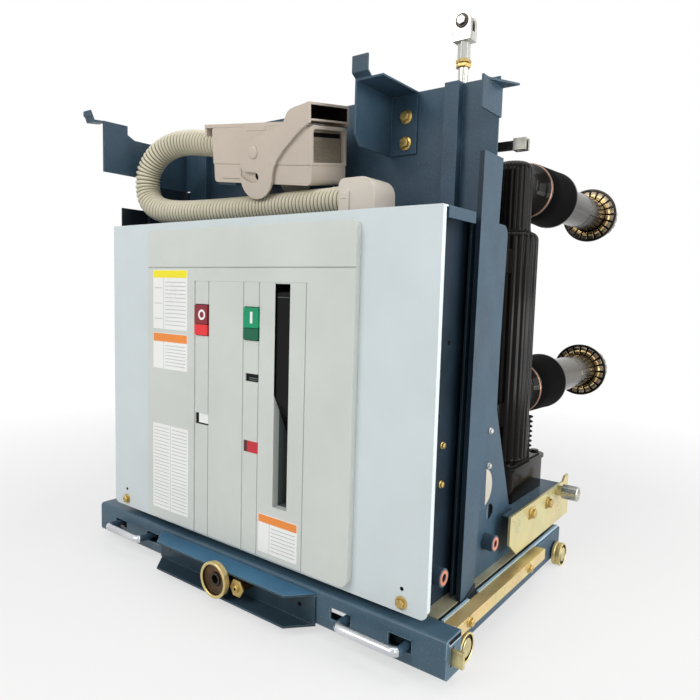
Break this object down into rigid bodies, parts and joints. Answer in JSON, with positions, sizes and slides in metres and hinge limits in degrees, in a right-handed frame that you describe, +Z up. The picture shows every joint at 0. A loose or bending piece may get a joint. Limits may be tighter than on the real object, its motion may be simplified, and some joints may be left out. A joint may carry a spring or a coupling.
{
  "type": "draw-out vacuum circuit breaker",
  "caption": "Three-pole draw-out vacuum circuit breaker on a wheeled racking truck, with front cover, contact arms with tulip contacts, latch handles and a control plug on a conduit.",
  "frame": {"origin": "middle of the part's own box on the floor, between the four wheels", "axes": "+X to the right seen from the front cover, +Y to the rear along the contact arms, +Z up"},
  "size_m": [0.746, 0.908, 0.854],
  "materials": {
    "cover_paint": "satin powder coat, light blue-grey",
    "bezel_plastic": "fine-textured warm grey moulding",
    "red_plastic": "smooth red, darker upper part",
    "green_plastic": "smooth green, darker lower part",
    "window_plastic": "small indicator windows",
    "black_plastic": "moulded black",
    "grey_plastic": "moulded grey",
    "blue_paint": "fine hammered steel-blue powder coat",
    "deck_zinc": "dull zinc",
    "dark_paint": "black satin paint",
    "epoxy": "glossy black-brown cast epoxy",
    "shroud_rubber": "matt black",
    "contact_metal": "plated copper, dull",
    "tulip_metal": "plated copper fingers with brass springs",
    "yellow_zinc": "yellow-passivated zinc with a pink tint",
    "roller_aluminium": "turned",
    "bush_steel": "painted bush with a copper-coloured face",
    "screw_steel": "oiled steel",
    "handle_chrome": "bright plated bar",
    "plug_plastic": "moulded beige",
    "conduit_plastic": "corrugated cream tube",
    "rod_steel": "bright zinc"
  },
  "bodies": {
    "root": {"front_cover": "cover_paint", "cover_bezel": "bezel_plastic", "indicator_windows": "window_plastic", "lever_pocket": "grey_plastic", "mechanism_box": "blue_paint", "base_plate": "deck_zinc", "side_frame_left": "blue_paint", "side_frame_right": "blue_paint", "back_plate": "blue_paint", "top_shelf": "blue_paint", "corner_tab": "dark_paint", "rear_frame": "blue_paint", "rear_platform": "blue_paint", "platform_legs": "blue_paint", "pole_left": "epoxy", "pole_middle": "epoxy", "pole_right": "epoxy", "pole_shrouds": "shroud_rubber", "pole_mounts": "epoxy", "contact_arms": "contact_metal", "hook_bracket_left": "blue_paint", "hook_bracket_right": "blue_paint", "corner_hook": "blue_paint", "truck_rails": "blue_paint", "truck_crossbar": "blue_paint", "guide_rails": "yellow_zinc", "shutter_brackets": "yellow_zinc", "lifting_bushes": "bush_steel", "conduit_elbow": "plug_plastic", "conduit": "conduit_plastic", "plug_body": "plug_plastic", "plug_rest": "blue_paint", "rear_link": "rod_steel", "tulip_upper_left": "tulip_metal", "tulip_upper_middle": "tulip_metal", "tulip_upper_right": "tulip_metal", "tulip_lower_left": "tulip_metal", "tulip_lower_middle": "tulip_metal", "tulip_lower_right": "tulip_metal"},
    "girder": {"girder_beam": "blue_paint", "girder_nose": "blue_paint", "guide_arms": "blue_paint", "racking_socket": "yellow_zinc", "racking_lock": "yellow_zinc"},
    "screw": {"racking_screw": "screw_steel"},
    "latch_left": {"latch_handle_left": "handle_chrome"},
    "latch_right": {"latch_handle_right": "handle_chrome"},
    "open_push": {"open_button": "red_plastic"},
    "close_push": {"close_button": "green_plastic"},
    "charger": {"charging_lever": "black_plastic"},
    "bail": {"plug_lever": "plug_plastic"},
    "interlock": {"interlock_rod": "rod_steel"},
    "wheel_fl": {"wheel_front_left": "yellow_zinc"},
    "wheel_fr": {"wheel_front_right": "yellow_zinc"},
    "wheel_rl": {"wheel_rear_left": "yellow_zinc"},
    "wheel_rr": {"wheel_rear_right": "yellow_zinc"},
    "roller_left": {"shutter_roller_left": "roller_aluminium"},
    "roller_right": {"shutter_roller_right": "roller_aluminium"}
  },
  "joints": [
    {"name": "racking_slide", "type": "slide", "parent": "root", "child": "girder", "axis": [0, -1, 0], "range_m": [0, 0.2]},
    {"name": "screw_turn", "type": "hinge", "parent": "girder", "child": "screw", "pos_m": [0, -0.302, 0.042], "axis": [0, 1, 0], "continuous": true},
    {"name": "latch_left_slide", "type": "slide", "parent": "girder", "child": "latch_left", "axis": [1, 0, 0], "range_m": [0, 0.018], "stiffness_N_per_m": 400, "springref_m": -0.02},
    {"name": "latch_right_slide", "type": "slide", "parent": "girder", "child": "latch_right", "axis": [-1, 0, 0], "range_m": [0, 0.018], "stiffness_N_per_m": 400, "springref_m": -0.02},
    {"name": "open_press", "type": "slide", "parent": "root", "child": "open_push", "axis": [0, 1, 0], "range_m": [0, 0.006], "stiffness_N_per_m": 800, "springref_m": -0.004},
    {"name": "close_press", "type": "slide", "parent": "root", "child": "close_push", "axis": [0, 1, 0], "range_m": [0, 0.006], "stiffness_N_per_m": 800, "springref_m": -0.004},
    {"name": "charging_turn", "type": "hinge", "parent": "root", "child": "charger", "pos_m": [0.09, -0.366, 0.188], "axis": [1, 0, 0], "range_deg": [0, 75]},
    {"name": "bail_turn", "type": "hinge", "parent": "root", "child": "bail", "pos_m": [-0.01541, -0.32371, 0.67246], "axis": [-0.0175, -0.9871, -0.1589], "range_deg": [0, 70]},
    {"name": "interlock_lift", "type": "slide", "parent": "root", "child": "interlock", "axis": [0, 0, 1], "range_m": [0, 0.025]},
    {"name": "wheel_fl_turn", "type": "hinge", "parent": "root", "child": "wheel_fl", "pos_m": [-0.343, -0.338, 0.02], "axis": [1, 0, 0], "continuous": true},
    {"name": "wheel_fr_turn", "type": "hinge", "parent": "root", "child": "wheel_fr", "pos_m": [0.343, -0.338, 0.02], "axis": [1, 0, 0], "continuous": true},
    {"name": "wheel_rl_turn", "type": "hinge", "parent": "root", "child": "wheel_rl", "pos_m": [-0.343, 0.03, 0.02], "axis": [1, 0, 0], "continuous": true},
    {"name": "wheel_rr_turn", "type": "hinge", "parent": "root", "child": "wheel_rr", "pos_m": [0.343, 0.03, 0.02], "axis": [1, 0, 0], "continuous": true},
    {"name": "roller_left_turn", "type": "hinge", "parent": "root", "child": "roller_left", "pos_m": [-0.357, 0.028, 0.132], "axis": [1, 0, 0], "continuous": true},
    {"name": "roller_right_turn", "type": "hinge", "parent": "root", "child": "roller_right", "pos_m": [0.357, 0.028, 0.132], "axis": [1, 0, 0], "continuous": true}
  ]
}
